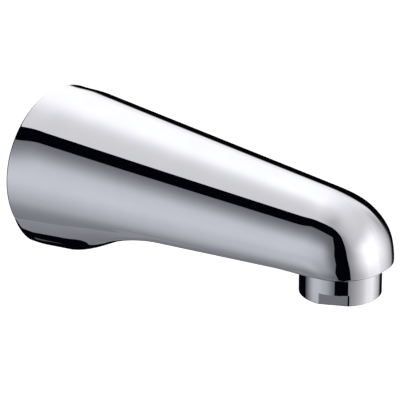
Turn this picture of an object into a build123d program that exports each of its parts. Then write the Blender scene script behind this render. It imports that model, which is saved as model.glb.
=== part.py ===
"""Bath spout: a hollow cast body on a wall nipple, with a screwed-in aerator at its outlet.

The origin is the middle of the base circle on the wall plane. +X leaves the wall along the spout,
+Z is up, and the spout is symmetric about the XZ plane. All sizes are in millimetres.
"""
import os
from math import cos, pi, radians, sin, sqrt, tan

from build123d import *

# Outer form of the body
base_radius = 31.0
cone_half_angle = 4.75
nose_start = 129.7
nose_length = 25.15
nose_plan_power = 3.36
nose_side_power = 2.66
nose_side_fade = (0.85, 0.1)
nose_profile_power = 2.15
nose_front_height = -0.46
underside_depth_at_wall = 13.5
underside_rise_angle = 2.5
bottom_edge_radius = 3.0
rim_edge_radius = 0.6
shell_wall = 3.2

# Round boss left under the body beside the wall
boss_radius_at_wall = 36.0
boss_mid_distance = 26.0
boss_mid_radius = 27.9
boss_tip_distance = 69.0
boss_blend_radius = 8.0

# Rear recess and the socket that slides over the nipple
recess_depth = 20.0
recess_wall = 3.8
bulkhead_thickness = 5.0
socket_setback = 4.0
socket_length = 36.0
socket_wall = 4.0
socket_clearance = 0.1

# Nipple between the wall fitting and the body, with a G 3/4 thread at its wall end
pipe_thread_radius = 13.22
pipe_thread_length = 13.0
pipe_thread_inside_wall = 1.5
thread_relief_width = 1.6
thread_relief_depth = 1.3
thread_end_chamfer = 1.2
nipple_radius = 12.9
nipple_length = 34.0
nipple_bore_radius = 8.2
nipple_key_across_flats = 17.0
nipple_key_depth = 9.0
nipple_end_chamfer = 0.8

# Rings that seal the nipple in the socket
ring_groove_width = 3.2
ring_groove_depth = 1.8
ring_width = 2.7
ring_corner_radius = 0.8
ring_fit_gap = 0.02
rear_ring_from_end = 12.0
front_ring_from_end = 5.5

# Grub screw under the base, size M6
grub_distance = 12.0
grub_radius = 2.9
grub_hole_clearance = 0.1
grub_recess = 6.3
grub_point_radius = 2.0
grub_point_length = 0.9
grub_key_across_flats = 3.0
grub_key_depth = 4.0
grub_groove_width = 6.6
grub_groove_depth = 1.2
grub_tip_gap = 0.05
grub_pad_radius = 6.5

# Rubber ring in the rear rim
seal_width = 1.4
seal_depth = 1.3
seal_edge_distance = 1.4

# Outlet in the nose, thread M28 x 1
outlet_distance = 136.0
outlet_seat_step = 0.1
outlet_thread_radius = 14.0
outlet_thread_depth = 10.6
outlet_ledge_radius = 11.0
outlet_ledge_thickness = 3.0
outlet_wall = 4.5

# Aerator housing, the collar under the nose
collar_radius = 15.2
collar_height = 10.1
collar_edge_radius = 0.5
housing_thread_clearance = 0.1
housing_thread_height = 9.2
housing_bore_radius = 11.8
housing_lip_radius = 10.6
housing_lip_height = 1.4
flat_across = 28.3
flat_height = 4.3
flat_turn = 27.0

# Washer between the housing and its seat
washer_inner_radius = 10.9
washer_edge_gap = 0.2

# Aerator insert
cage_clearance = 0.1
cage_wall = 1.1
cage_height = 14.4
cage_foot_radius = 9.2
cage_foot_height = 0.8
cage_ledge_height = 10.6
cage_ledge_width = 0.6
window_count = 6
window_width = 3.0
window_height = 2.0
window_level = 7.4
inner_fit_gap = 0.08
grid_thickness = 2.0
grid_pitch = 2.6
grid_web = 0.5
grid_rings = 3
screen_rim_width = 1.2
screen_rim_height = 0.9
screen_thickness = 0.4
screen_pitch = 2.0
screen_wire = 0.6
jet_disc_thickness = 1.6
jet_radius = 0.6
jet_rings = ((3.2, 8), (5.8, 14), (8.4, 20))
strainer_flange_height = 0.9
strainer_dome_radius = 9.6
strainer_dome_height = 3.4
strainer_wall = 0.8
strainer_hole_radius = 0.65
strainer_rings = ((2.2, 6), (4.6, 12), (7.0, 18))

# Extra length of a cutting solid beyond what it cuts
overcut = 1.0
hex_turn = 30.0

# How the nose is divided into sections
nose_sections = 9
nose_points = 9
nose_pivot_drop = 2.0
nose_chord = 1.5
nose_tolerance = 0.00001

# Values worked out from the sizes above
cone_cosine = cos(radians(cone_half_angle))
cone_slope = tan(radians(cone_half_angle))
underside_slope = tan(radians(underside_rise_angle))
reach = nose_start + nose_length + base_radius


def cone_radius(distance):
    """Outer radius of the cone at a distance from the wall."""
    return base_radius - distance * cone_slope


def underside_level(distance):
    """Height of the flat underside at a distance from the wall."""
    return -underside_depth_at_wall + distance * underside_slope


rear_ring_distance = nipple_length - rear_ring_from_end
front_ring_distance = nipple_length - front_ring_from_end
socket_radius = nipple_radius + socket_clearance
socket_outer_radius = socket_radius + socket_wall
outlet_seat_level = underside_level(outlet_distance - collar_radius) - outlet_seat_step
collar_bottom_level = outlet_seat_level - collar_height
outlet_top_level = outlet_seat_level + outlet_thread_depth
housing_top_level = outlet_seat_level + housing_thread_height
housing_floor_level = collar_bottom_level + housing_lip_height
cage_inner_radius = housing_bore_radius - cage_clearance - cage_wall - cage_ledge_width


def turned(points, axis=Axis.X):
    """Solid turned about an axis from a closed outline drawn in the XZ plane."""
    outline = Polyline(*[(x, 0, z) for x, z in points], close=True)
    return revolve(make_face(outline), axis)


def tube_x(start, end, outer, inner):
    """Tube along X between two distances from the wall."""
    return turned([(start, inner), (end, inner), (end, outer), (start, outer)])


def disc_z(bottom, top, radius, distance=outlet_distance):
    """Upright round bar on the outlet's axis."""
    bar = Cylinder(radius, top - bottom, align=(Align.CENTER, Align.CENTER, Align.MIN))
    return Pos(distance, 0, bottom) * bar


def ring_z(bottom, top, outer, inner):
    """Upright ring on the outlet's axis."""
    return disc_z(bottom, top, outer) - disc_z(bottom - overcut, top + overcut, inner)


def hex_bar(bottom, top, across_flats):
    """Upright hexagonal bar at the origin."""
    section = RegularPolygon(across_flats / 2, 6, major_radius=False)
    return Pos(0, 0, bottom) * extrude(section, top - bottom)


def on_outlet(solid):
    """Move a solid from the origin to the outlet's axis."""
    return Pos(outlet_distance, 0, 0) * solid


def nose_half_width(distance, level, inset):
    """Half width of the turned-down nose at a distance from the wall and a height."""
    radius = cone_radius(distance) - inset / cone_cosine
    height = level / radius
    fall = abs((height - nose_front_height) / (1 - nose_front_height))
    if fall >= 1:
        return 0
    front = (nose_length - inset) * (1 - fall**nose_profile_power) ** (1 / nose_profile_power)
    ahead = (distance - nose_start) / front
    if ahead >= 1:
        return 0
    high, low = nose_side_fade
    share = min(1, max(0, (high - height) / (high - low)))
    side_power = 2 + (nose_side_power - 2) * share**2 * (3 - 2 * share)
    return radius * sqrt(1 - height**2) * (1 - ahead**nose_plan_power) ** (1 / side_power)


def nose_section(turn, inset):
    """D-shaped section of the nose, on a plane turned down about a line under its start."""
    pivot = Vector(nose_start, 0, underside_level(nose_start) - nose_pivot_drop)
    outward = Vector(sin(turn), 0, cos(turn))

    def half_width(length):
        place = pivot + outward * length
        return nose_half_width(place.X, place.Z, inset)

    inside = nose_chord
    outside = 2 * base_radius
    while outside - inside > nose_tolerance:
        middle = (inside + outside) / 2
        if half_width(middle) > 0:
            inside = middle
        else:
            outside = middle
    right_side = []
    for step in range(nose_points):
        length = nose_chord + (inside - nose_chord) * sin(pi / 2 * step / nose_points)
        right_side.append(pivot + outward * length + Vector(0, half_width(length), 0))
    left_side = [Vector(place.X, -place.Y, place.Z) for place in right_side]
    top = pivot + outward * inside
    curve = Spline(left_side + [top] + right_side[::-1])
    return make_face(curve + Line(right_side[0], left_side[0]))


def cone_end_section(inset):
    """D-shaped section where the cone goes over into the nose."""
    radius = cone_radius(nose_start) - inset / cone_cosine
    level = underside_level(nose_start) - nose_pivot_drop + nose_chord
    side = sqrt(radius**2 - level**2)
    left = (nose_start, -side, level)
    right = (nose_start, side, level)
    arc = ThreePointArc(left, (nose_start, 0, radius), right)
    return make_face(arc + Line(right, left))


def spout_form(inset, start):
    """Cone and turned-down nose, with its walls moved in by an inset, from a distance on."""
    start_radius = cone_radius(start) - inset / cone_cosine
    end_radius = cone_radius(nose_start) - inset / cone_cosine
    cone = turned([(start, 0), (nose_start, 0), (nose_start, end_radius), (start, start_radius)])
    sections = [cone_end_section(inset)]
    for step in range(nose_sections):
        sections.append(nose_section(pi / 2 * (step + 1) / nose_sections, inset))
    return cone + loft(sections)


def above_underside(inset):
    """Block that holds all space above the flat underside, raised by an inset."""
    level = -underside_depth_at_wall + inset / cos(radians(underside_rise_angle))
    plane = Plane((0, 0, level), x_dir=(1, 0, underside_slope), z_dir=(-underside_slope, 0, 1))
    block = Box(2 * reach, 4 * base_radius, 3 * base_radius, align=(Align.CENTER, Align.CENTER, Align.MIN))
    return plane * block


def boss_form():
    """Bullet shape about the cone's axis that keeps the round boss beside the wall."""
    curve = ThreePointArc(
        (0, 0, boss_radius_at_wall),
        (boss_mid_distance, 0, boss_mid_radius),
        (boss_tip_distance, 0, 0),
    )
    axis_line = Line((boss_tip_distance, 0, 0), (-overcut, 0, 0))
    back_line = Line((-overcut, 0, 0), (-overcut, 0, boss_radius_at_wall))
    rim_line = Line((-overcut, 0, boss_radius_at_wall), (0, 0, boss_radius_at_wall))
    return revolve(make_face(curve + axis_line + back_line + rim_line), Axis.X)


def build_outside():
    """Outer form of the casting as a solid, with its edges rounded."""
    block = above_underside(0)
    bullet = boss_form()
    kept = block + bullet
    kept = fillet(new_edges(block, bullet, combined=kept), boss_blend_radius)
    form = spout_form(0, 0)
    outside = form & kept
    outside = fillet(new_edges(form, kept, combined=outside), bottom_edge_radius)
    wall_face = outside.faces().sort_by(Axis.X)[0]
    return fillet(wall_face.outer_wire().edges(), rim_edge_radius)


def build_body():
    """Hollow casting with its socket, outlet, screw hole and seal groove."""
    outside = build_outside()
    void_start = recess_depth + bulkhead_thickness
    seat_top = outlet_top_level + outlet_ledge_thickness
    seat = disc_z(collar_bottom_level, seat_top, outlet_thread_radius + outlet_wall)
    void = (spout_form(shell_wall, void_start) & above_underside(shell_wall)) - seat

    recess = turned([
        (-overcut, socket_outer_radius),
        (recess_depth, socket_outer_radius),
        (recess_depth, cone_radius(recess_depth) - recess_wall),
        (-overcut, cone_radius(-overcut) - recess_wall),
    ])
    socket_end = socket_setback + socket_length
    socket = tube_x(recess_depth, socket_end, socket_outer_radius, socket_radius)
    bore = turned([(-overcut, 0), (socket_end, 0), (socket_end, socket_radius), (-overcut, socket_radius)])
    mouth = tube_x(-overcut, socket_setback, socket_outer_radius + overcut, socket_radius - overcut)

    pad = disc_z(-base_radius, -socket_radius, grub_pad_radius, grub_distance) & outside
    grub_hole = disc_z(-base_radius - overcut, 0, grub_radius + grub_hole_clearance, grub_distance)

    lip = disc_z(outlet_seat_level, outlet_top_level, collar_radius)
    outlet = disc_z(outlet_seat_level - overcut, outlet_top_level, outlet_thread_radius)
    waterway = disc_z(outlet_seat_level, seat_top + overcut, outlet_ledge_radius)

    body = outside - recess - void + socket + pad + lip
    body = body - mouth - bore - grub_hole - outlet - waterway
    return body - seal_ring(seal_depth)


def seal_ring(depth):
    """Flat ring that fills the groove in the rear rim."""
    outer = base_radius - seal_edge_distance
    return tube_x(0, depth, outer, outer - seal_width)


def build_nipple():
    """Nipple with its pipe thread behind the wall, two ring grooves and a groove for the screw."""
    relief_radius = nipple_radius - thread_relief_depth
    relief_end = pipe_thread_inside_wall + thread_relief_width
    nipple = turned([
        (-pipe_thread_length, 0),
        (-pipe_thread_length, pipe_thread_radius - thread_end_chamfer),
        (-pipe_thread_length + thread_end_chamfer, pipe_thread_radius),
        (pipe_thread_inside_wall, pipe_thread_radius),
        (pipe_thread_inside_wall, relief_radius),
        (relief_end, relief_radius),
        (relief_end, nipple_radius),
        (nipple_length - nipple_end_chamfer, nipple_radius),
        (nipple_length, nipple_radius - nipple_end_chamfer),
        (nipple_length, 0),
    ])
    nipple -= groove(grub_distance, grub_groove_width, grub_groove_depth)
    for distance in (rear_ring_distance, front_ring_distance):
        nipple -= groove(distance, ring_groove_width, ring_groove_depth)
    nipple -= turned([
        (-pipe_thread_length - overcut, 0),
        (nipple_length, 0),
        (nipple_length, nipple_bore_radius),
        (-pipe_thread_length - overcut, nipple_bore_radius),
    ])
    key = hex_bar(nipple_length - nipple_key_depth, nipple_length + overcut, nipple_key_across_flats)
    return nipple - Rot(0, 90, 0) * key


def groove(distance, width, depth):
    """Square groove around the nipple."""
    floor = nipple_radius - depth
    return tube_x(distance - width / 2, distance + width / 2, nipple_radius + overcut, floor)


def build_ring(distance):
    """Rubber ring pressed between its groove and the socket."""
    inner = nipple_radius - ring_groove_depth + ring_fit_gap
    outer = socket_radius - ring_fit_gap
    section = RectangleRounded(ring_width, outer - inner, ring_corner_radius)
    placed = Plane((distance, 0, (inner + outer) / 2), x_dir=(1, 0, 0), z_dir=(0, -1, 0)) * section
    return revolve(placed, Axis.X)


def build_grub_screw():
    """Headless socket screw that points up into the nipple's groove."""
    tip = -(nipple_radius - grub_groove_depth + grub_tip_gap)
    grub_length = cone_radius(grub_distance) - grub_recess + tip
    outline = [
        (0, tip),
        (grub_point_radius, tip),
        (grub_radius, tip - grub_point_length),
        (grub_radius, tip - grub_length),
        (0, tip - grub_length),
    ]
    screw = turned(outline, Axis.Z)
    screw -= hex_bar(tip - grub_length - overcut, tip - grub_length + grub_key_depth, grub_key_across_flats)
    return Pos(grub_distance, 0, 0) * screw


def build_housing():
    """Collar with two wrench flats, its thread in the nose and a bore for the insert."""
    thread_radius = outlet_thread_radius - housing_thread_clearance
    collar = disc_z(collar_bottom_level, outlet_seat_level, collar_radius)
    collar = fillet(collar.edges().group_by(Axis.Z)[0], collar_edge_radius)
    housing = collar + disc_z(outlet_seat_level, housing_top_level, thread_radius)
    housing -= disc_z(housing_floor_level, housing_top_level + overcut, housing_bore_radius)
    housing -= disc_z(collar_bottom_level - overcut, housing_floor_level, housing_lip_radius)
    flats = Box(4 * collar_radius, flat_across, flat_height + overcut,
                align=(Align.CENTER, Align.CENTER, Align.MAX))
    band = Cylinder(2 * collar_radius, flat_height + overcut, align=(Align.CENTER, Align.CENTER, Align.MAX))
    cut = Pos(0, 0, collar_bottom_level + flat_height) * Rot(0, 0, flat_turn) * (band - flats)
    return housing - on_outlet(cut)


def build_washer():
    """Flat washer between the top of the housing and its seat."""
    outer = outlet_thread_radius - washer_edge_gap
    return ring_z(housing_top_level, outlet_top_level, outer, washer_inner_radius)


def build_cage():
    """Plastic cup with a foot, a ledge and windows that let air in."""
    bottom = housing_floor_level
    outer = housing_bore_radius - cage_clearance
    cage = disc_z(bottom, bottom + cage_height, outer)
    cage -= disc_z(bottom + cage_ledge_height, bottom + cage_height + overcut, outer - cage_wall)
    cage -= disc_z(bottom + cage_foot_height, bottom + cage_ledge_height, cage_inner_radius)
    cage -= disc_z(bottom - overcut, bottom + cage_foot_height, cage_foot_radius)
    window = Pos(outer, 0, bottom + window_level) * Box(4 * cage_wall + overcut, window_width, window_height)
    for step in range(window_count):
        cage -= on_outlet(Rot(0, 0, 360 / window_count * step) * window)
    return cage


def build_grid():
    """Honeycomb that the water leaves through."""
    bottom = housing_floor_level + cage_foot_height
    grid = disc_z(bottom, bottom + grid_thickness, cage_inner_radius - inner_fit_gap)
    cell = hex_bar(bottom - overcut, bottom + grid_thickness + overcut, grid_pitch - grid_web)
    cells = []
    for row in range(-grid_rings, grid_rings + 1):
        count = 2 * grid_rings + 1 - abs(row)
        for column in range(count):
            along = (column - (count - 1) / 2) * grid_pitch
            across = row * grid_pitch * sqrt(3) / 2
            cells.append(Pos(along, across, 0) * Rot(0, 0, hex_turn) * cell)
    return grid - [on_outlet(cell) for cell in cells]


def build_screen(bottom):
    """Wire screen with a rolled rim."""
    outer = cage_inner_radius - inner_fit_gap
    inner = outer - screen_rim_width
    screen = ring_z(bottom, bottom + screen_rim_height, outer, inner)
    middle = bottom + screen_rim_height / 2
    sheet = disc_z(middle - screen_thickness / 2, middle + screen_thickness / 2, inner)
    hole = Pos(0, 0, middle) * Box(screen_pitch - screen_wire, screen_pitch - screen_wire, screen_rim_height)
    steps = int(inner / screen_pitch)
    corner = (screen_pitch - screen_wire) / 2
    holes = []
    for row in range(-steps, steps + 1):
        for column in range(-steps, steps + 1):
            x = column * screen_pitch
            y = row * screen_pitch
            if sqrt((abs(x) + corner)**2 + (abs(y) + corner)**2) < inner - screen_wire / 2:
                holes.append(on_outlet(Pos(x, y, 0) * hole))
    return screen + (sheet - holes)


def ring_holes(rings, radius, bottom, top):
    """Upright round holes on circles about the outlet's axis."""
    hole = Pos(0, 0, bottom) * Cylinder(radius, top - bottom, align=(Align.CENTER, Align.CENTER, Align.MIN))
    holes = []
    for circle_radius, count in rings:
        for step in range(count):
            holes.append(on_outlet(Rot(0, 0, 360 / count * step) * Pos(circle_radius, 0, 0) * hole))
    return holes


def build_jet_disc():
    """Disc on the cage's ledge that splits the water into fine jets."""
    bottom = housing_floor_level + cage_ledge_height
    top = bottom + jet_disc_thickness
    disc = disc_z(bottom, top, housing_bore_radius - cage_clearance - cage_wall - inner_fit_gap)
    return disc - ring_holes(jet_rings, jet_radius, bottom - overcut, top + overcut)


def build_strainer():
    """Domed sieve on top of the cage."""
    bottom = housing_floor_level + cage_height
    flange_top = bottom + strainer_flange_height
    ball = (strainer_dome_radius**2 + strainer_dome_height**2) / (2 * strainer_dome_height)
    middle = Pos(0, 0, flange_top + strainer_dome_height - ball)
    dome = middle * Sphere(ball) - middle * Sphere(ball - strainer_wall)
    dome = on_outlet(dome) & disc_z(flange_top, flange_top + 2 * strainer_dome_height, strainer_dome_radius)
    inner = strainer_dome_radius - 2 * strainer_wall
    flange = ring_z(bottom, flange_top, housing_bore_radius - cage_clearance, inner)
    top = flange_top + strainer_dome_height + overcut
    return (flange + dome) - ring_holes(strainer_rings, strainer_hole_radius, bottom - overcut, top)


screen_level = housing_floor_level + cage_foot_height + grid_thickness
nodes = {
    "spout_body": build_body(),
    "inlet_nipple": build_nipple(),
    "nipple_o_ring_rear": build_ring(rear_ring_distance),
    "nipple_o_ring_front": build_ring(front_ring_distance),
    "grub_screw": build_grub_screw(),
    "wall_seal": seal_ring(seal_depth),
    "aerator_housing": build_housing(),
    "aerator_washer": build_washer(),
    "aerator_strainer": build_strainer(),
    "jet_disc": build_jet_disc(),
    "aerator_cage": build_cage(),
    "mesh_screen_upper": build_screen(screen_level + screen_rim_height),
    "mesh_screen_lower": build_screen(screen_level),
    "outlet_grid": build_grid(),
}

os.makedirs("parts", exist_ok=True)
for name, solid in nodes.items():
    export_step(solid, f"parts/{name}.step")
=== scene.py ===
from math import atan2, cos, degrees, hypot, pi, radians, sin, sqrt, tan

import bmesh
import bpy
import numpy as np
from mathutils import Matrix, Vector


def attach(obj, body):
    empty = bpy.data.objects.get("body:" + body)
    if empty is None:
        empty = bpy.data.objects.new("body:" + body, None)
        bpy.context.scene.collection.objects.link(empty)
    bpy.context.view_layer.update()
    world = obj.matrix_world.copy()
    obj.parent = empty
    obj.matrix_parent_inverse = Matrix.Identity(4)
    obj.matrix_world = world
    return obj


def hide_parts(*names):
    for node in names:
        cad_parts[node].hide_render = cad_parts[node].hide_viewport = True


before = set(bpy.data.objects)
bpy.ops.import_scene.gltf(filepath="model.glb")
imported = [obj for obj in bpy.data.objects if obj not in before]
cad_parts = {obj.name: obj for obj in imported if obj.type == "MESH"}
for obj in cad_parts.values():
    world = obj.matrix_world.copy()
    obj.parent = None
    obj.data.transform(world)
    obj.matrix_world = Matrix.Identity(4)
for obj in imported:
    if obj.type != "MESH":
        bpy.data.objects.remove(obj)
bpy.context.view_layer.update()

# Sizes of the spout in millimetres, with the base, boss, nose and rim as the photograph shows them
millimetre = 0.001
base_radius = 30.98
cone_angle = 4.75
cone_slope = tan(radians(cone_angle))
swell_rise = 1.05
swell_end = 14.0
swell_slope = 0.0104
swell_fade = (0.1, 0.75)
base_fullness = 0.62
base_fullness_start = (-16.0, 8.0)
base_fullness_fade = (20.0, 60.0)
nose_start = 130.1
nose_length = 24.7
nose_plan_power = 3.36
nose_side_power = 2.66
nose_side_fade = (0.85, 0.1)
nose_profile_power = 2.15
nose_front_height = -0.46
nose_tip_round = 0.06
nose_plan_fade = (1.0, 0.7)
nose_low_plan_power = 0.4
nose_low_fade = (-0.05, -0.4)
nose_ease = 5.0
underside_depth = 13.5
underside_slope = tan(radians(2.5))
bottom_edge_radius = 3.0
nose_edge_radius = 0.8
nose_edge_fade = (118.0, 138.0)
rim_edge_radius = 1.1
shell_wall = 3.2
boss_tip = 54.5
boss_slope = tan(radians(28.5))
boss_blend = 5.0
recess_depth = 20.0
recess_wall = 3.8
bulkhead_end = 25.0
socket_mouth = 4.0
socket_end = 40.0
socket_radius = 13.0
socket_outer_radius = 17.0
grub_distance = 12.0
grub_hole_radius = 3.0
grub_pad_radius = 6.5
seal_outer_radius = 29.6
seal_inner_radius = 28.2
seal_depth = 1.3
outlet_distance = 136.0
outlet_thread_radius = 14.0
outlet_ledge_radius = 11.0
collar_radius = 15.2
collar_height = 10.1
seat_sink = 0.1
outlet_depth = 10.6
seat_level = -underside_depth + (outlet_distance - collar_radius) * underside_slope - seat_sink
collar_bottom = seat_level - collar_height
outlet_top = seat_level + outlet_depth
flat_half_width = 14.15
flat_height = 4.3
flat_turn = 26.0


# Form of the body: a field that is below zero inside it and above zero outside

def cone_radius(distance):
    """Outer radius of the cone at a distance from the wall."""
    return base_radius - distance * cone_slope


def ease(value, start, end):
    """Smooth step from 0 at the start to 1 at the end."""
    share = np.clip((value - start) / (end - start), 0, 1)
    return share * share * (3 - 2 * share)


def skin_radius(distance, level):
    """Radius of the outer skin, whose upper side is up to a millimetre fuller close to the wall."""
    upper = ease(level / cone_radius(distance), *swell_fade)
    rise = swell_rise * ease(distance, 0, swell_end) * upper
    return cone_radius(distance) + rise - swell_slope * distance * upper


def form_level(places, inset):
    """Level of the cone with its turned-down nose, moved in by an inset."""
    x, y, z = places.T
    radius = skin_radius(x, z) - inset
    across = np.abs(y / radius)
    height = z / radius
    fall = np.abs((height - nose_front_height) / (1 - nose_front_height))
    below_one = 1 - 1e-9
    fall = np.minimum(fall, below_one)
    front = (nose_length - inset) * (1 - fall**nose_profile_power) ** (1 / nose_profile_power)
    past_start = x - nose_start
    past_start = (past_start + np.sqrt(past_start**2 + nose_ease**2)) / 2
    furthest = 20.0
    ahead = np.minimum(past_start / front, furthest)
    room = np.maximum(1 - height**2, 0)
    side_share = 2 / (2 + (nose_side_power - 2) * ease(height, *nose_side_fade))
    plan_change = (nose_plan_power - nose_profile_power) * ease(height, *nose_plan_fade)
    plan_power = nose_profile_power + plan_change + nose_low_plan_power * ease(height, *nose_low_fade)
    left_over = np.maximum(1 - ahead**plan_power, 0) + nose_tip_round
    least = nose_tip_round**side_share
    plan = (left_over**side_share - least) / ((1 + nose_tip_round) ** side_share - least)
    beyond = np.maximum(ahead - 1, 0)
    fullness = base_fullness * ease(x, *base_fullness_start) * (1 - ease(x, *base_fullness_fade))
    lower_side = fullness * across**2 * np.minimum(height, 0) ** 4
    return across**2 + height**2 - 1 - lower_side + room * (1 - plan) + beyond


def slope_of(field, places, step):
    """Slope of a field by small steps along X, Y and Z."""
    sides = []
    for direction in np.eye(3):
        sides.append((field(places + direction * step) - field(places - direction * step)) / (2 * step))
    return np.stack(sides, -1)


def form_distance(places, inset):
    """Distance to the cone and nose, nearly true close to the surface."""
    def field(at):
        return form_level(at, inset)

    slope_step = 0.01
    least_slope = 0.001
    size = np.linalg.norm(slope_of(field, places, slope_step), axis=1)
    return field(places) / np.maximum(size, least_slope)


def rounded_both(first, second, radius):
    """What two fields share, with a rounded edge."""
    edge = np.hypot(np.maximum(radius + first, 0), np.maximum(radius + second, 0))
    return np.minimum(-radius, np.maximum(first, second)) + edge


def rounded_either(first, second, radius):
    """What either of two fields holds, with a rounded hollow between them."""
    hollow = np.hypot(np.maximum(radius - first, 0), np.maximum(radius - second, 0))
    return np.maximum(radius, np.minimum(first, second)) - hollow


def above_underside(places, inset):
    """Distance below the flat underside, moved up by an inset."""
    level = -underside_depth + places[:, 0] * underside_slope
    return (level - places[:, 2]) / sqrt(1 + underside_slope**2) + inset


def outside_field(places):
    """Field of the outer skin, with the boss beside the wall and a rounded bottom edge."""
    x, z = places[:, 0], places[:, 2]
    boss_level = -underside_depth + boss_tip * underside_slope - (boss_tip - x) * boss_slope
    boss = (boss_level - z) / sqrt(1 + boss_slope**2)
    kept = rounded_either(above_underside(places, 0), boss, boss_blend)
    finer = (nose_edge_radius - bottom_edge_radius) * ease(x, *nose_edge_fade)
    return rounded_both(form_distance(places, 0), kept, bottom_edge_radius + finer)


def inside_field(places):
    """Field of the water space in the casting."""
    below = above_underside(places, shell_wall)
    return rounded_both(form_distance(places, shell_wall), below, bottom_edge_radius / 2)


def cast_rays(starts, directions, field):
    """Places where rays from inside a form reach its surface."""
    halvings = 42
    near = np.zeros(len(starts))
    far = np.full(len(starts), 2 * base_radius)
    for step in range(halvings):
        middle = (near + far) / 2
        outside = field(starts + directions * middle[:, None]) > 0
        far = np.where(outside, middle, far)
        near = np.where(outside, near, middle)
    return starts + directions * near[:, None]


def skin_grid(field, distances, angles, fan):
    """Places on the near half of a skin: stations along the cone, then a fan round the nose."""
    starts = []
    directions = []
    for distance in distances:
        for angle in angles:
            starts.append((distance, 0, 0))
            directions.append((0, -cos(angle), sin(angle)))
    for turn in fan:
        for angle in angles:
            starts.append((distances[-1], 0, 0))
            directions.append((sin(turn) * cos(angle), -cos(turn) * cos(angle), sin(angle)))
    places = cast_rays(np.array(starts, float), np.array(directions, float), field)
    return places.reshape(len(distances) + len(fan), len(angles), 3)


def skin_mesh(field, distances, angles, fan):
    """Points, faces and normals of a whole skin, mirrored about the middle plane."""
    near = skin_grid(field, distances, angles, fan)
    far = near[::-1][1:] * np.array([1, -1, 1])
    grid = np.concatenate([near, far])
    points = grid.reshape(-1, 3)
    rows, columns = grid.shape[:2]
    faces = []
    for row in range(rows - 1):
        for column in range(columns - 1):
            corner = row * columns + column
            faces.append((corner, corner + 1, corner + columns + 1, corner + columns))
    normal_step = 0.02
    slope = slope_of(field, points, normal_step)
    normals = slope / np.linalg.norm(slope, axis=1)[:, None]
    return points, faces, normals


# Meshes, and the lengths in metres below which points or edges fall together
same_place = 1e-7
no_length = 1e-8


def add_object(name, points, faces, normals=None, sharp_angle=None):
    """New object from points in millimetres, with given normals or with sharp edges by angle."""
    mesh = bpy.data.meshes.new(name)
    mesh.from_pydata([tuple(point) for point in np.array(points) * millimetre], [], faces)
    mesh.update()
    shape = bmesh.new()
    shape.from_mesh(mesh)
    if normals is None:
        bmesh.ops.remove_doubles(shape, verts=shape.verts, dist=same_place)
        bmesh.ops.dissolve_degenerate(shape, edges=shape.edges, dist=no_length)
        bmesh.ops.recalc_face_normals(shape, faces=shape.faces)
    for face in shape.faces:
        face.smooth = True
    if sharp_angle is not None:
        for edge in shape.edges:
            edge.smooth = edge.calc_face_angle(0) < sharp_angle
    shape.to_mesh(mesh)
    shape.free()
    if normals is not None:
        mesh.normals_split_custom_set_from_vertices([tuple(normal) for normal in normals])
    made = bpy.data.objects.new(name, mesh)
    bpy.context.scene.collection.objects.link(made)
    return made


def rings(loops):
    """Points and faces of a surface through closed loops with equal numbers of points."""
    count = len(loops[0])
    points = [point for loop in loops for point in loop]
    faces = []
    for row in range(len(loops) - 1):
        for column in range(count):
            following = (column + 1) % count
            first = row * count
            second = first + count
            faces.append((first + column, first + following, second + following, second + column))
    return points, faces


def turned_x(profile, segments):
    """Surface turned about the spout's axis from points of distance and radius."""
    loops = []
    for distance, radius in profile:
        turns = [2 * pi * step / segments for step in range(segments)]
        loops.append([(distance, radius * cos(turn), radius * sin(turn)) for turn in turns])
    return rings(loops)


def quarter_round(middle, radius, first, last, steps):
    """Points on an arc about a middle, between two angles in degrees."""
    found = []
    for step in range(steps + 1):
        angle = radians(first + (last - first) * step / steps)
        found.append((middle[0] + radius * cos(angle), middle[1] + radius * sin(angle)))
    return found


def joined(surfaces):
    """One list of points and faces from several."""
    points = []
    faces = []
    for more_points, more_faces in surfaces:
        start = len(points)
        points.extend(more_points)
        faces.extend(tuple(start + corner for corner in face) for face in more_faces)
    return points, faces


def spread(first, last, step):
    """Even steps from one number to another, both ends included."""
    count = max(1, round(abs(last - first) / step))
    return list(np.linspace(first, last, count + 1))


# Outer skin of the casting, with finer steps beside the wall and where the bottom edge runs
skin_start = rim_edge_radius * (1 + sin(radians(cone_angle)))
skin_first = 2
fine_end = 70
fine_step = 1
coarse_step = 1.6
skin_distances = [skin_start] + spread(skin_first, fine_end, fine_step)
skin_distances = skin_distances + spread(fine_end, nose_start, coarse_step)[1:]
edge_top = -8
edge_bottom = -70
side_turn_step = 1.75
edge_turn_step = 0.8
bottom_turn_step = 1
fan_step = 1.8
skin_angles = spread(90, edge_top, side_turn_step)
skin_angles = skin_angles + spread(edge_top, edge_bottom, edge_turn_step)[1:]
skin_angles = skin_angles + spread(edge_bottom, -90, bottom_turn_step)[1:]
skin_angles = [radians(angle) for angle in skin_angles]
fan_turns = [radians(turn) for turn in spread(0, 90, fan_step)[1:]]
points, faces, normals = skin_mesh(outside_field, skin_distances, skin_angles, fan_turns)

hole_half_length = 5.0
hole_half_turn = 9
outlet_overlap = 0.4
length_slack = 0.01
turn_slack = 0.001


def in_outlet(place):
    """Whether a place of the underside lies behind the collar."""
    away = hypot(place[0] - outlet_distance, place[1])
    return place[2] < 0 and away < outlet_thread_radius + outlet_overlap


def in_grub_patch(place):
    """Whether a place lies in the patch around the grub screw's hole."""
    beside = abs(place[0] - grub_distance) < hole_half_length + length_slack
    below = place[2] < 0 and abs(atan2(place[1], -place[2])) < radians(hole_half_turn) + turn_slack
    return beside and below


outlet_points = [in_outlet(place) for place in points]
grub_points = [in_grub_patch(place) for place in points]
kept_faces = []
for face in faces:
    if all(outlet_points[corner] for corner in face) or all(grub_points[corner] for corner in face):
        continue
    kept_faces.append(face)


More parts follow.
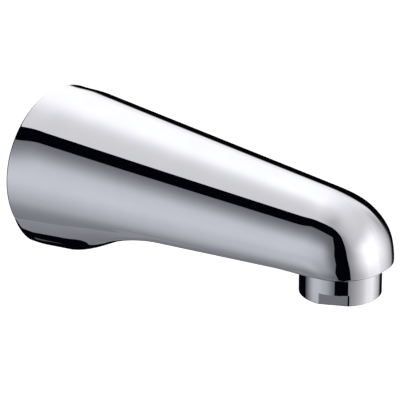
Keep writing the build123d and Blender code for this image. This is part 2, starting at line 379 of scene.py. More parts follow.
def base_places(spots):
    """Places on the bottom of the round base, below spots of distance and width."""
    starts = np.array([(distance, across, 0) for distance, across in spots])
    return cast_rays(starts, np.tile((0.0, 0.0, -1.0), (len(spots), 1)), outside_field)


def grub_patch():
    """Skin from the square edge of the patch to the rounded mouth of the hole, and the hole's wall."""
    angles = spread(-hole_half_turn, hole_half_turn, bottom_turn_step)
    distances = spread(grub_distance - hole_half_length, grub_distance + hole_half_length, fine_step)
    edge = []
    for angle in angles[:-1]:
        edge.append((distances[0], radians(angle)))
    for distance in distances[:-1]:
        edge.append((distance, radians(angles[-1])))
    for angle in angles[::-1][:-1]:
        edge.append((distances[-1], radians(angle)))
    for distance in distances[::-1][:-1]:
        edge.append((distance, radians(angles[0])))
    starts = np.array([(distance, 0, 0) for distance, angle in edge])
    directions = np.array([(0, sin(angle), -cos(angle)) for distance, angle in edge])
    square = cast_rays(starts, directions, outside_field)
    mouth_round = 0.35
    hole_depth = 8
    mouth_radius = grub_hole_radius + mouth_round
    loops = [square]
    for share in (0.25, 0.5, 0.75, 1):
        spots = []
        for distance, across, level in square:
            turn = atan2(across, distance - grub_distance)
            round_x = grub_distance + mouth_radius * cos(turn)
            round_y = mouth_radius * sin(turn)
            spots.append((distance + (round_x - distance) * share, across + (round_y - across) * share))
        loops.append(base_places(spots))
    mouth = loops[-1]
    rounded_in = ((0.1, 0.03), (0.25, 0.12), (mouth_round, mouth_round), (mouth_round, hole_depth))
    for inward, rise in rounded_in:
        shrink = (mouth_radius - inward) / mouth_radius
        spots = [(grub_distance + (x - grub_distance) * shrink, y * shrink) for x, y, z in mouth]
        loops.append(base_places(spots) + np.array([0, 0, rise]))
    return rings(loops)


skin = add_object("spout_skin", points, kept_faces, normals)
mouth_sharp = radians(40)
patch = add_object("spout_screw_mouth", *grub_patch(), sharp_angle=mouth_sharp)

# Rear rim, recess and socket of the casting, turned about its axis
turned_sharp = radians(25)
round_steps = 8
rim_middle = (rim_edge_radius, cone_radius(rim_edge_radius) - rim_edge_radius * sqrt(1 + cone_slope**2))
rim_profile = quarter_round(rim_middle, rim_edge_radius, 90 - cone_angle, 180, round_steps)
edge_break = 0.25
rim_profile += [
    (0, seal_outer_radius),
    (seal_depth, seal_outer_radius),
    (seal_depth, seal_inner_radius),
    (0, seal_inner_radius),
    (0, base_radius - recess_wall + edge_break),
    (edge_break, base_radius - recess_wall),
]
rim_segments = 180
rim = add_object("spout_rear_rim", *turned_x(rim_profile, rim_segments), sharp_angle=turned_sharp)

recess_corner = 2.0
corner_steps = 6
floor_radius = cone_radius(recess_depth) - recess_wall
recess_profile = [(edge_break, base_radius - recess_wall)]
corner = (recess_depth - recess_corner, floor_radius - recess_corner)
recess_profile += quarter_round(corner, recess_corner, 90, 0, corner_steps)
corner = (recess_depth - recess_corner, socket_outer_radius + recess_corner)
recess_profile += quarter_round(corner, recess_corner, 0, -90, corner_steps)
socket_outer_break = 0.5
socket_mouth_chamfer = 0.6
socket_end_chamfer = 0.4
recess_profile += [
    (socket_mouth + socket_outer_break, socket_outer_radius),
    (socket_mouth, socket_outer_radius - socket_outer_break),
    (socket_mouth, socket_radius + socket_mouth_chamfer),
    (socket_mouth + socket_mouth_chamfer, socket_radius),
    (socket_end - socket_end_chamfer, socket_radius),
    (socket_end, socket_radius + socket_end_chamfer),
    (socket_end, socket_outer_radius),
    (bulkhead_end, socket_outer_radius),
    (bulkhead_end, cone_radius(bulkhead_end) - shell_wall),
]


def post():
    """Upright post in the recess that carries the grub screw's thread."""
    segments = 72
    post_overlap = 1.5
    skin_cover = 2
    loops = []
    for level in (-socket_outer_radius + post_overlap, -cone_radius(grub_distance) + skin_cover):
        loop = []
        for step in range(segments):
            turn = 2 * pi * step / segments
            x = grub_distance + grub_pad_radius * cos(turn)
            loop.append((x, grub_pad_radius * sin(turn), level))
        loops.append(loop)
    return rings(loops)


body_segments = 144
recess_parts = joined([turned_x(recess_profile, body_segments), post()])
recess = add_object("spout_recess", *recess_parts, sharp_angle=turned_sharp)

# Water space, seen through the bores only
inner_step = 6
inner_turn_step = 6
inner_fan_step = 10
inner_distances = spread(bulkhead_end, nose_start, inner_step)
inner_angles = [radians(angle) for angle in spread(90, -90, inner_turn_step)]
inner_fan = [radians(turn) for turn in spread(0, 90, inner_fan_step)[1:]]
inner_points, inner_faces, inner_normals = skin_mesh(inside_field, inner_distances, inner_angles, inner_fan)
inner_faces = [face[::-1] for face in inner_faces]
water_space = add_object("spout_water_space", inner_points, inner_faces, -inner_normals)


# Lip under the nose that the collar screws up against, with the threaded seat above it

def turned_outlet(profile, segments):
    """Surface turned about the outlet's axis from points of radius and height."""
    loops = []
    for radius, level in profile:
        loop = []
        for step in range(segments):
            turn = 2 * pi * step / segments
            loop.append((outlet_distance + radius * cos(turn), radius * sin(turn), level))
        loops.append(loop)
    return rings(loops)


lip_break = 0.2
lip_height = 1.2
ledge_height = 3
lip_profile = [
    (collar_radius, seat_level + lip_height),
    (collar_radius, seat_level + lip_break),
    (collar_radius - lip_break, seat_level),
    (outlet_thread_radius, seat_level),
    (outlet_thread_radius, outlet_top),
    (outlet_ledge_radius, outlet_top),
    (outlet_ledge_radius, outlet_top + ledge_height),
    (outlet_thread_radius, outlet_top + ledge_height),
]
lip = add_object("spout_outlet_seat", *turned_outlet(lip_profile, body_segments), sharp_angle=turned_sharp)

# Collar of the aerator with its two wrench flats
housing_bore = 11.8
housing_lip_radius = 10.6
housing_thread_radius = 13.9
housing_rise = 9.2
housing_lip_height = 1.4
housing_lip_break = 0.2
housing_top = seat_level + housing_rise
housing_floor = collar_bottom + housing_lip_height
collar_edge = 0.5
flat_end_round = 0.13
flat_end_steps = 4
flat_end_step = 0.35
flat_level = collar_bottom + flat_height
flat_corner_drops = (0.15, 0.04)
flat_corner_depth = 0.1
flat_edge_inset = 0.05
flat_edge_rise = 0.08
collar_turn_step = 2
collar_sharp = radians(14)
flat_spread = degrees(np.arccos(flat_half_width / collar_radius))


def collar_turns():
    """Angles around the collar, with the ends of its flats among them."""
    found = set(spread(0, 360, collar_turn_step)[:-1])
    for side in (90, 270):
        middle = flat_turn + side
        for end in (middle - flat_spread, middle + flat_spread):
            for step in range(-flat_end_steps, flat_end_steps + 1):
                found.add((end + step * flat_end_step) % 360)
    return sorted(found)


def flat_limit(turn):
    """Radius that a wrench flat leaves at an angle around the collar."""
    away = (turn - flat_turn) % 180 - 90
    flat = flat_half_width / cos(radians(away))
    near = max(1 - abs(flat - collar_radius) / flat_end_round, 0)
    return min(flat, collar_radius) - near**2 * flat_end_round / 4


def collar_loops():
    """Loops of the collar from its inner bore over the bottom edge up to the thread."""
    outline = [("plain", housing_thread_radius, housing_top)]
    outline.append(("plain", housing_bore, housing_top))
    outline.append(("plain", housing_bore, housing_floor))
    outline.append(("plain", housing_lip_radius, housing_floor))
    outline.append(("plain", housing_lip_radius, collar_bottom + housing_lip_break))
    outline.append(("plain", housing_lip_radius + housing_lip_break, collar_bottom))
    for inward, rise in quarter_round((collar_edge, collar_edge), collar_edge, 270, 180, round_steps):
        outline.append(("cut", inward, collar_bottom + rise))
    for drop in flat_corner_drops:
        outline.append(("cut", 0, flat_level - drop))
    outline.append(("step", flat_corner_depth, flat_level))
    outline.append(("full", flat_edge_inset, flat_level))
    outline.append(("full", 0, flat_level + flat_edge_rise))
    outline.append(("full", 0, seat_level - lip_break))
    outline.append(("full", lip_break, seat_level))
    outline.append(("plain", housing_thread_radius, seat_level))
    outline.append(("plain", housing_thread_radius, housing_top))
    loops = []
    for kind, number, level in outline:
        loop = []
        for turn in collar_turns():
            limit = flat_limit(turn)
            if kind == "plain":
                radius = number
            elif kind == "full":
                set_in = limit < collar_radius or level >= seat_level
                radius = collar_radius - (number if set_in else 0)
            elif kind == "step":
                radius = min(limit + number, collar_radius)
            else:
                radius = limit - number
            angle = radians(turn)
            loop.append((outlet_distance + radius * cos(angle), radius * sin(angle), level))
        loops.append(loop)
    return loops


collar = add_object("aerator_collar", *rings(collar_loops()), sharp_angle=collar_sharp)

# Nipple with its pipe thread, ring grooves and key socket
nipple_radius = 12.9
nipple_bore = 8.2
nipple_end = 34.0
pipe_thread_radius = 13.22
pipe_thread_start = -13.0
pipe_thread_end = 1.5
pipe_thread_pitch = 1.814
pipe_thread_height = 1.16
pipe_chamfer = 1.2
thread_flank_slope = 1.25
thread_crest_share = 0.125
thread_run_out = 0.2
stations_in_pitch = 10
neck_radius = 11.6
neck_end = 3.1
end_chamfer = 0.8
bore_chamfer = 0.4
key_start = 25
key_half_flats = 8.5
key_rim_radius = 10.2
nipple_segments = 96
screw_groove = (8.7, 15.3, 11.7)
rear_ring_groove = (20.4, 23.6, 11.1)
front_ring_groove = (26.9, 30.1, 11.1)


def thread_loops():
    """Loops along the pipe thread, with a helical groove that runs out towards the neck."""
    loops = []
    turns = [2 * pi * step / nipple_segments for step in range(nipple_segments)]
    for distance in spread(pipe_thread_start, pipe_thread_end, pipe_thread_pitch / stations_in_pitch):
        loop = []
        for turn in turns:
            phase = (distance / pipe_thread_pitch - turn / (2 * pi)) % 1
            flank = thread_flank_slope * (1 - abs(2 * phase - 1)) - thread_crest_share
            depth = pipe_thread_height * min(1, max(0, flank))
            fade = min(1, (pipe_thread_end - distance) / pipe_thread_pitch)
            crest = pipe_thread_radius - max(0, pipe_chamfer - (distance - pipe_thread_start))
            radius = min(crest, pipe_thread_radius - depth * fade)
            loop.append((distance, radius * cos(turn), radius * sin(turn)))
        loops.append(loop)
    return loops


def hexagon_loop(distance, half_flats, count):
    """Loop around a hexagonal key socket."""
    loop = []
    for step in range(count):
        turn = 2 * pi * step / count
        radius = half_flats / cos((turn + pi / 6) % (pi / 3) - pi / 6)
        loop.append((distance, radius * cos(turn), radius * sin(turn)))
    return loop


nipple_profile = [
    (pipe_thread_end, pipe_thread_radius - thread_run_out),
    (pipe_thread_end, neck_radius),
    (neck_end, neck_radius),
    (neck_end, nipple_radius),
]
for groove_start, groove_end, groove_floor in (screw_groove, rear_ring_groove, front_ring_groove):
    nipple_profile += [(groove_start, nipple_radius), (groove_start, groove_floor)]
    nipple_profile += [(groove_end, groove_floor), (groove_end, nipple_radius)]
nipple_profile += [
    (nipple_end - end_chamfer, nipple_radius),
    (nipple_end, nipple_radius - end_chamfer),
    (nipple_end, key_rim_radius),
]
bore_profile = [
    (pipe_thread_start, pipe_thread_radius - pipe_chamfer),
    (pipe_thread_start, nipple_bore + bore_chamfer),
    (pipe_thread_start + bore_chamfer, nipple_bore),
    (key_start, nipple_bore),
]
key_floor = turned_x([(key_start, nipple_bore)], nipple_segments)[0]
key_ends = (key_start, nipple_end)
key_walls = [hexagon_loop(distance, key_half_flats, nipple_segments) for distance in key_ends]
key_rim = turned_x([(nipple_end, key_rim_radius)], nipple_segments)[0]
nipple_parts = joined([
    rings(thread_loops()),
    turned_x(nipple_profile, nipple_segments),
    turned_x(bore_profile, nipple_segments),
    rings([key_floor] + key_walls + [key_rim]),
])
nipple = add_object("inlet_nipple_threaded", *nipple_parts, sharp_angle=turned_sharp)

# Materials, and the part of a noise's values that they use
noise_low = 0.3
noise_high = 0.7


class Shader:
    """A material under construction, with short ways to add nodes and join them."""

    def __init__(self, name):
        self.material = bpy.data.materials.new(name)
        self.material.use_nodes = True
        self.tree = self.material.node_tree
        self.main = self.tree.nodes["Principled BSDF"]
        self.place = self.add("ShaderNodeTexCoord").outputs["Object"]

    def add(self, kind, **values):
        node = self.tree.nodes.new(kind)
        for name, value in values.items():
            setattr(node, name, value)
        return node

    def join(self, start, end):
        self.tree.links.new(start, end)

    def noise(self, scale, detail):
        node = self.add("ShaderNodeTexNoise")
        node.inputs["Scale"].default_value = scale
        node.inputs["Detail"].default_value = detail
        self.join(self.place, node.inputs["Vector"])
        return node.outputs["Fac"]

    def range(self, source, low, high):
        node = self.add("ShaderNodeMapRange")
        node.inputs["From Min"].default_value = noise_low
        node.inputs["From Max"].default_value = noise_high
        node.inputs["To Min"].default_value = low
        node.inputs["To Max"].default_value = high
        self.join(source, node.inputs["Value"])
        return node.outputs["Result"]

    def blend(self, source, first, second):
        node = self.add("ShaderNodeValToRGB")
        node.color_ramp.elements[0].position = noise_low
        node.color_ramp.elements[0].color = (*first, 1)
        node.color_ramp.elements[1].position = noise_high
        node.color_ramp.elements[1].color = (*second, 1)
        self.join(source, node.inputs["Fac"])
        return node.outputs["Color"]

    def bump(self, height, strength, distance):
        node = self.add("ShaderNodeBump")
        node.inputs["Strength"].default_value = strength
        node.inputs["Distance"].default_value = distance
        self.join(height, node.inputs["Height"])
        self.join(node.outputs["Normal"], self.main.inputs["Normal"])

    def set(self, name, value):
        self.main.inputs[name].default_value = value

    def feed(self, name, source):
        self.join(source, self.main.inputs[name])


def chrome(name):
    """Polished chrome plate: nearly even, with faint clouding and polishing marks."""
    shader = Shader(name)
    shader.set("Metallic", 1.0)
    dull = (0.80, 0.81, 0.83)
    clear = (0.83, 0.84, 0.855)
    clouds = shader.noise(scale=70, detail=4)
    shader.feed("Base Color", shader.blend(clouds, dull, clear))
    marks = shader.noise(scale=420, detail=5)
    shader.feed("Roughness", shader.range(marks, low=0.012, high=0.03))
    shader.bump(shader.noise(scale=1500, detail=2), strength=0.01, distance=0.00002)
    return shader.material


def plain_metal(name, dark, light, rough, smooth, grain, depth):
    """Bare metal with a fine grain."""
    shader = Shader(name)
    shader.set("Metallic", 1.0)
    clouds = shader.noise(scale=grain / 8, detail=5)
    shader.feed("Base Color", shader.blend(clouds, dark, light))
    shader.feed("Roughness", shader.range(shader.noise(grain, detail=6), smooth, rough))
    shader.bump(shader.noise(grain, detail=6), strength=0.25, distance=depth)
    return shader.material


def turned_metal(name, dark, light):
    """Lathe-turned metal with fine rings along the spout's axis."""
    shader = Shader(name)
    shader.set("Metallic", 1.0)
    wave = shader.add("ShaderNodeTexWave", wave_type="BANDS", bands_direction="X")
    wave.inputs["Scale"].default_value = 900
    wave.inputs["Distortion"].default_value = 0.6
    shader.join(shader.place, wave.inputs["Vector"])
    clouds = shader.noise(scale=140, detail=5)
    shader.feed("Base Color", shader.blend(clouds, dark, light))
    marks = shader.noise(scale=500, detail=4)
    shader.feed("Roughness", shader.range(marks, low=0.2, high=0.34))
    shader.bump(wave.outputs["Fac"], strength=0.08, distance=0.00004)
    return shader.material


def soft_solid(name, dark, light, rough, smooth, grain, depth):
    """Rubber or moulded plastic with a fine grain."""
    shader = Shader(name)
    clouds = shader.noise(scale=grain / 10, detail=4)
    shader.feed("Base Color", shader.blend(clouds, dark, light))
    shader.feed("Roughness", shader.range(shader.noise(grain, detail=3), smooth, rough))
    shader.bump(shader.noise(grain, detail=3), strength=0.2, distance=depth)
    return shader.material


polished_chrome = chrome("polished_chrome")
cast_inside = plain_metal(
    "cast_brass_inside",
    dark=(0.30, 0.22, 0.11),
    light=(0.44, 0.34, 0.19),
    rough=0.62,
    smooth=0.42,
    grain=900,
    depth=0.0002,
)
bare_brass = turned_metal("bare_brass", dark=(0.70, 0.53, 0.26), light=(0.82, 0.65, 0.35))
black_rubber = soft_solid(
    "black_rubber",
    dark=(0.022, 0.022, 0.023),
    light=(0.04, 0.04, 0.042),
    rough=0.72,
    smooth=0.55,
    grain=2200,
    depth=0.00008,
)
screw_steel = plain_metal(
    "screw_steel",
    dark=(0.20, 0.20, 0.21),
    light=(0.34, 0.34, 0.36),
    rough=0.42,
    smooth=0.28,
    grain=1600,
    depth=0.00004,
)
screen_steel = plain_metal(
    "screen_steel",
    dark=(0.52, 0.53, 0.55),
    light=(0.68, 0.69, 0.71),
    rough=0.4,
    smooth=0.25,
    grain=2400,
    depth=0.00003,
)
white_plastic = soft_solid(
    "white_plastic",
    dark=(0.76, 0.77, 0.78),
    light=(0.84, 0.845, 0.85),
    rough=0.48,
    smooth=0.36,
    grain=1800,
    depth=0.00004,
)
grey_plastic = soft_solid(
    "grey_plastic",
    dark=(0.40, 0.42, 0.45),
    light=(0.50, 0.52, 0.55),
    rough=0.5,
    smooth=0.38,
    grain=1800,
    depth=0.00004,
)


def dress(piece, material):
    """Give an object one material."""
    piece.data.materials.clear()
    piece.data.materials.append(material)


pieces = [
    (skin, polished_chrome, "spout_body", "polished_chrome"),
    (patch, polished_chrome, "spout_body", "polished_chrome"),
    (rim, polished_chrome, "spout_body", "polished_chrome"),
    (lip, polished_chrome, "spout_body", "polished_chrome"),
    (recess, cast_inside, "spout_body", "polished_chrome"),
    (water_space, cast_inside, "spout_body", "polished_chrome"),
    (collar, polished_chrome, "aerator_housing", "polished_chrome"),
    (nipple, bare_brass, "inlet_nipple", "bare_brass"),
]
for piece, material, node, slot in pieces:
    dress(piece, material)
    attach(piece, "root")
    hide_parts(node)

carried = {
    "nipple_o_ring_rear": black_rubber,
    "nipple_o_ring_front": black_rubber,
    "grub_screw": screw_steel,
    "wall_seal": black_rubber,
    "aerator_washer": black_rubber,
    "aerator_strainer": grey_plastic,
    "jet_disc": grey_plastic,
    "aerator_cage": white_plastic,
    "mesh_screen_upper": screen_steel,
    "mesh_screen_lower": screen_steel,
    "outlet_grid": white_plastic,
}
for node, material in carried.items():
    dress(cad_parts[node], material)

# Camera at the photograph's angle
azimuth = radians(38.55)
elevation = radians(21.40)
camera_distance = 1.16866
aim_right = 0.05513
aim_up = -0.014925
right = Vector((cos(azimuth), sin(azimuth), 0))
back = Vector((sin(azimuth) * cos(elevation), -cos(azimuth) * cos(elevation), sin(elevation)))
up = back.cross(right)
camera_data = bpy.data.cameras.new("camera")
camera_data.sensor_width = 36
camera_data.lens = 270
camera = bpy.data.objects.new("camera", camera_data)
bpy.context.scene.collection.objects.link(camera)
camera.location = right * aim_right + up * aim_up + back * camera_distance
camera.rotation_euler = back.to_track_quat("Z", "Y").to_euler()
bpy.context.scene.camera = camera

# Studio around the spout: a tent whose walls are pale, grey or black by direction
tent_radius = 2.0
tent_middle = Vector((0.075, 0, 0))
chrome_share = 0.82
ground_share = 0.97
black_share = 0.95
panel_share = 0.9
full_level = 255
brightest_level = 260
gap_level = 4
cloth_level = 3


def light_of(level):
    """Emission that the chrome shows as a display level from 0 to 255."""
    straight_end = 0.04045
    straight_slope = 12.92
    curve_offset = 0.055
    curve_power = 2.4
    share = np.clip(level, 0, brightest_level) / full_level
    curved = ((share + curve_offset) / (1 + curve_offset)) ** curve_power
    return np.where(share < straight_end, share / straight_slope, curved) / chrome_share


def hump(value, middle, width):
    """Bell-shaped rise around a middle."""
    return np.exp(-((value - middle) / width) ** 2)


def turn_from(azimuths, middle):
    """Difference of azimuths from a middle, from -180 to 180 degrees."""
    return (azimuths - middle + 180) % 360 - 180


def roof_level(azimuths, elevations):
    """Pale roof, white towards the left rear and duller above the right front."""
    top_level = 202
    top_slope = 106
    side_level = 206
    brightest_azimuth = -125
    from_white = turn_from(azimuths, middle=-130)
    white_width = np.where(from_white > 0, 34, 65)
    white = 48 * hump(from_white, 0, white_width)
    dull = 34 * hump(turn_from(azimuths, middle=45), middle=0, width=55)
    shade = 38 * hump(azimuths, middle=62, width=16) * (1 - ease(elevations, start=40, end=64))
    from_rear = turn_from(azimuths, middle=155)
    shade = shade + 13 * hump(from_rear, middle=0, width=24) * hump(elevations, middle=36, width=14)
    along = np.cos(np.radians(elevations)) * np.cos(np.radians(azimuths - brightest_azimuth))
    top = top_level + top_slope * along
    side = side_level + white - dull - shade
    return top + (side - top) * ease(90 - elevations, start=8, end=30)


def softbox_level(from_edge, elevations):
    """White softbox at the right, brighter away from the black cloth."""
    edge_level = 130
    rise = 2.35
    fall = 3
    fall_start = 76
    left_side = edge_level + rise * from_edge
    right_side = brightest_level - fall * np.maximum(from_edge - fall_start, 0)
    low_loss = 36 * ease(-elevations, start=0, end=20) * hump(from_edge, middle=50, width=38)
    return np.minimum(left_side, right_side) - low_loss


def gap_share(from_gap, elevations, gap_top):
    """Share from 0 to 1 of the dark gap behind the spout, below its curved top."""
    softness = 2
    gap = 1 - ease(elevations, gap_top - softness, gap_top + softness)
    return gap * ease(elevations, start=-34, end=-24) * ease(from_gap, start=-33, end=-15)


def tent_level(azimuths, elevations):
    """Roof, softbox, dark gap behind the spout and grey ground."""
    roof = roof_level(azimuths, elevations)
    from_edge = turn_from(azimuths, middle=58) % 360
    softbox = (1 - ease(from_edge, start=104, end=122)) * (1 - ease(elevations, start=14, end=38))
    level = roof + (softbox_level(from_edge, elevations) - roof) * softbox
    level = level - 14 * hump(elevations, middle=16, width=20) * hump(from_edge, middle=14, width=20)
    level = level - 110 * hump(azimuths, middle=-92, width=20) * (1 - ease(elevations, start=28, end=42))
    gap_height = 24
    from_gap = turn_from(azimuths, middle=-164)
    gap_curve = np.where(from_gap > 0, 0.034, 0.025)
    gap_top = gap_height - gap_curve * from_gap**2
    level = level - 26 * hump(elevations, gap_top + 3, width=9) * hump(from_gap, middle=4, width=26)
    level = level + (gap_level - level) * gap_share(from_gap, elevations, gap_top)
    ground_grey = 126
    far_loss = 116
    ground_start = 43
    ground_end = 46 + softbox * 14
    ground = ease(-elevations, ground_start, ground_end)
    far_side = ease(np.abs(azimuths), start=100, end=125) * ease(-elevations, start=64, end=70)
    return level * (1 - ground) + (ground_grey - far_loss * far_side) * ground


def panel_level(azimuths, elevations):
    """Grey front panel, brightest left of its middle and fading towards its edges."""
    edge_level = 100
    middle_gain = 98
    across = 1 - 0.2 * ease(azimuths, start=-30, end=0) - 0.8 * ease(azimuths, start=-6, end=27)
    across = across - 1.6 * ease(-azimuths, start=38, end=90)
    upright = 1 - ease(elevations, start=5, end=46) - 0.45 * ease(-elevations, start=6, end=50)
    upright = upright - 0.3 * ease(-elevations, start=34, end=50)
    low_left = 10 * ease(-elevations, start=30, end=44) * ease(-azimuths, start=44, end=60)
    high_left = 30 * hump(elevations, middle=20, width=16) * ease(-azimuths, start=18, end=36)
    high_middle = 9 * hump(elevations, middle=14, width=22) * hump(azimuths, middle=8, width=16)
    low_middle = 14 * ease(-elevations, start=20, end=32) * hump(azimuths, middle=-22, width=9)
    low_right = 16 * ease(-elevations, start=26, end=40) * hump(azimuths, middle=8, width=12)
    level = edge_level + middle_gain * across * upright
    return level + low_left - high_left + high_middle + low_middle - low_right


def ground_level(azimuths, elevations):
    """Grey ground, darker further down and black at the far side."""
    near_level = 136
    level = near_level - 18 * ease(-elevations, start=49, end=60)
    far_side = ease(-azimuths, start=92, end=108) * ease(-elevations, start=64, end=70)
    return level + (gap_level - level) * far_side


def black_level(azimuths, elevations):
    """Black cloth."""
    return np.full_like(azimuths, cloth_level)


def whole_tent(across, upright):
    """Place on the tent for two shares from 0 to 1."""
    return across * 360 - 180, upright * 180 - 90


def between(left, right, bottom, top):
    """Place between two upright edges and two level edges that may be curved."""
    def place(across, upright):
        zenith = 90.0
        widest = right(zenith + 0 * across)
        near = left + (widest - left) * across
        elevations = bottom(near) + (top(near) - bottom(near)) * upright
        return left + (right(elevations) - left) * across, elevations

    return place


def straight(angle):
    """Straight edge of a card, at one angle all along."""
    def edge(along):
        return along * 0 + angle

    return edge


def panel_right(elevations):
    """Right edge of the grey panel, further right above and further left below."""
    level_azimuth = 26.9
    high_lean = 4.3 * ease(elevations, start=2, end=36)
    low_lean = 7.5 * ease(-elevations, start=14, end=29)
    return level_azimuth + high_lean - low_lean


def panel_top(azimuths):
    """Upper edge of the grey panel, an arch with a lower left end."""
    crown = 48
    crown_azimuth = 12
    arch = 0.0028
    left_drop = 8.5 * ease(-azimuths, start=22, end=34)
    return crown - arch * (azimuths - crown_azimuth) ** 2 - left_drop


def panel_bottom(azimuths):
    """Lower edge of the grey panel, raised left of its middle."""
    lowest = -50.2
    return lowest + 4.6 * hump(azimuths, middle=-41, width=5)


def black_right(elevations):
    """Right edge of the black cloth, further right above."""
    low_azimuth = 58.6
    low_lean = 2.2 * ease(elevations, start=-26, end=-8)
    high_lean = 3.6 * ease(elevations, start=2, end=36)
    return low_azimuth + low_lean + high_lean


def black_top(azimuths):
    """Upper edge of the black cloth, an arch with a rounded right corner."""
    crown = 64.5
    crown_azimuth = 18
    arch = 0.003
    corner_width = 47.5
    corner_height = 24
    corner_power = 2.6
    beyond = np.clip((azimuths - crown_azimuth) / corner_width, 0, 1)
    corner_drop = corner_height * (1 - (1 - beyond**corner_power) ** (1 / corner_power))
    left_drop = 4 * ease(-azimuths, start=32, end=44)
    return crown - arch * np.minimum(azimuths - crown_azimuth, 0) ** 2 - left_drop - corner_drop


def black_bottom(azimuths):
    """Lower edge of the black cloth, which hangs lower at both ends."""
    middle_elevation = -44
    left_drop = 3 * ease(-azimuths, start=76, end=92)
    right_drop = 44 * ease(azimuths, start=12, end=22)
    return middle_elevation - left_drop - right_drop


def tent_card(name, place, level, tint, cells, radius):
    """Curved card that lights the chrome by a level, on the tent or inside it."""
    columns, rows = cells
    across, upright = np.meshgrid(np.linspace(0, 1, columns + 1), np.linspace(0, 1, rows + 1))
    azimuths, elevations = place(across.ravel(), upright.ravel())
    turns = np.radians(azimuths)
    tilts = np.radians(elevations)
    level_share = np.cos(tilts)
    spots = np.stack([np.sin(turns) * level_share, -np.cos(turns) * level_share, np.sin(tilts)], -1)
    spots = (spots * radius + np.array(tent_middle)) / millimetre
    card_faces = []
    for row in range(rows):
        for column in range(columns):
            first = row * (columns + 1) + column
            second = first + columns + 1
            card_faces.append((first, first + 1, second + 1, second))
    card = add_object(name, spots, card_faces, spots * 0)
    light_card(card, level(azimuths, elevations), tint)


def light_card(card, levels, tint):
    """Let a card shine by a display level at each of its points, unseen by the camera."""
    glow = card.data.attributes.new("glow", "FLOAT", "POINT")
    glow.data.foreach_set("value", light_of(levels).astype(np.float32))
    material = bpy.data.materials.new(card.name)
    material.use_nodes = True
    tree = material.node_tree
    tree.nodes.remove(tree.nodes["Principled BSDF"])
    read = tree.nodes.new("ShaderNodeAttribute")
    read.attribute_name = "glow"
    shine = tree.nodes.new("ShaderNodeEmission")
    shine.inputs["Color"].default_value = (*tint, 1)
    tree.links.new(read.outputs["Fac"], shine.inputs["Strength"])
    tree.links.new(shine.outputs["Emission"], tree.nodes["Material Output"].inputs["Surface"])
    card.data.materials.append(material)
    card.visible_camera = False
    card.visible_shadow = False


pale_tint = (1.0, 0.99, 1.02)
grey_tint = (0.97, 0.98, 1.08)
black_tint = (0.75, 0.6, 2.8)
ground_place = between(left=-150, right=straight(20), bottom=straight(-88), top=straight(-44))
flap_place = between(left=-156, right=straight(-138), bottom=black_bottom, top=straight(-28))
black_place = between(left=-140, right=black_right, bottom=black_bottom, top=black_top)
panel_place = between(left=-75, right=panel_right, bottom=panel_bottom, top=panel_top)
cards = [
    ("tent_wall", whole_tent, tent_level, pale_tint, (360, 240), tent_radius),
    ("grey_ground", ground_place, ground_level, grey_tint, (170, 60), tent_radius * ground_share),
    ("black_flap", flap_place, black_level, black_tint, (20, 20), tent_radius * black_share),
    ("black_cloth", black_place, black_level, black_tint, (190, 100), tent_radius * black_share),
    ("grey_panel", panel_place, panel_level, grey_tint, (110, 100), tent_radius * panel_share),
]
for name, place, level, tint, cells, radius in cards:
    tent_card(name, place, level, tint, cells, radius)

# Dark shelf close below the boss, whose edge shows in the boss, with a pale strip on it
shelf_level = -45
shelf_left = -120
shelf_right = 38
shelf_rear = 120
shelf_front = -36
shelf_corner_middle = (12, -19.2)
shelf_corner_radius = 7
shelf_corner = quarter_round(shelf_corner_middle, shelf_corner_radius, 270, 360, round_steps)
shelf_outline = [(shelf_left, shelf_front), (-19.3, shelf_front), (-16, -26.2)] + shelf_corner
shelf_outline += [(22, -10), (shelf_right, 8), (shelf_right, shelf_rear), (shelf_left, shelf_rear)]
shelf_points = [(distance, across, shelf_level) for distance, across in shelf_outline]
shelf = add_object("dark_shelf", shelf_points, [tuple(range(len(shelf_points)))])
light_card(shelf, np.full(len(shelf_points), float(cloth_level)), black_tint)
strip_rise = 0.2
strip_level = shelf_level + strip_rise
strip_left_light = 98.0
strip_right_light = 60.0
strip_outline = ((-9.5, -17.2), (4.5, -15.8), (4.5, -15.2), (-9.5, -14.6))
strip_points = [(distance, across, strip_level) for distance, across in strip_outline]
strip_lights = np.array([strip_left_light, strip_right_light, strip_right_light, strip_left_light])
strip = add_object("pale_strip", strip_points, [(0, 1, 2, 3)])
light_card(strip, strip_lights, grey_tint)

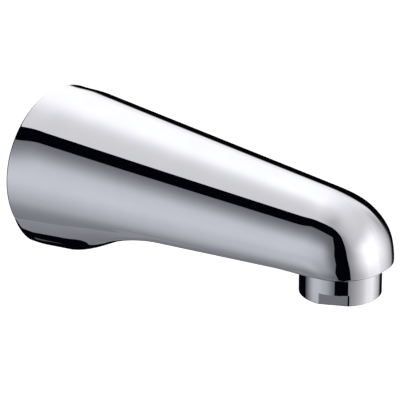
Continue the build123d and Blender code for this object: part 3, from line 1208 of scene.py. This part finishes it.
# Pale floor far below, white to the camera and to reflections
floor_level = -2.3
floor_size = 40
floor_grey = 0.9
floor_roughness = 0.9
floor_light = (0.0, 0.65)
half_floor = floor_size / 2 / millimetre
floor_points = []
for side_x, side_y in ((-1, -1), (1, -1), (1, 1), (-1, 1)):
    floor_points.append((side_x * half_floor, side_y * half_floor, floor_level / millimetre))
floor = add_object("floor", floor_points, [(0, 1, 2, 3)])
floor_material = bpy.data.materials.new("floor")
floor_material.use_nodes = True
floor_tree = floor_material.node_tree
floor_main = floor_tree.nodes["Principled BSDF"]
floor_main.inputs["Base Color"].default_value = (floor_grey, floor_grey, floor_grey, 1)
floor_main.inputs["Roughness"].default_value = floor_roughness
floor_main.inputs["Emission Color"].default_value = (1, 1, 1, 1)


def seen_share(tree, shown):
    """Strength with one value for diffuse light and another for the camera, reflections and glass."""
    path = tree.nodes.new("ShaderNodeLightPath")
    first = tree.nodes.new("ShaderNodeMath")
    first.operation = "MAXIMUM"
    tree.links.new(path.outputs["Is Camera Ray"], first.inputs[0])
    tree.links.new(path.outputs["Is Glossy Ray"], first.inputs[1])
    second = tree.nodes.new("ShaderNodeMath")
    second.operation = "MAXIMUM"
    tree.links.new(first.outputs["Value"], second.inputs[0])
    tree.links.new(path.outputs["Is Transmission Ray"], second.inputs[1])
    scaled = tree.nodes.new("ShaderNodeMapRange")
    scaled.inputs["To Min"].default_value = shown[0]
    scaled.inputs["To Max"].default_value = shown[1]
    tree.links.new(second.outputs["Value"], scaled.inputs["Value"])
    return scaled.outputs["Result"]


floor_tree.links.new(seen_share(floor_tree, floor_light), floor_main.inputs["Emission Strength"])
floor.data.materials.append(floor_material)

# White sky, and a soft lamp above that shows in no reflection
sky_light = (0.5, 1.0)
world = bpy.data.worlds.new("world")
bpy.context.scene.world = world
world.use_nodes = True
world_tree = world.node_tree
sky = world_tree.nodes["Background"]
sky.inputs["Color"].default_value = (1, 1, 1, 1)
world_tree.links.new(seen_share(world_tree, sky_light), sky.inputs["Strength"])

lamp_data = bpy.data.lights.new("roof_softbox", "AREA")
lamp_data.shape = "DISK"
lamp_data.size = 1.0
lamp_data.energy = 12
lamp = bpy.data.objects.new("roof_softbox", lamp_data)
bpy.context.scene.collection.objects.link(lamp)
lamp.location = (-0.3, 0.3, 1.7)
lamp.rotation_euler = (tent_middle - lamp.location).to_track_quat("-Z", "Y").to_euler()
lamp.visible_glossy = False

bpy.context.scene.view_settings.view_transform = "Standard"
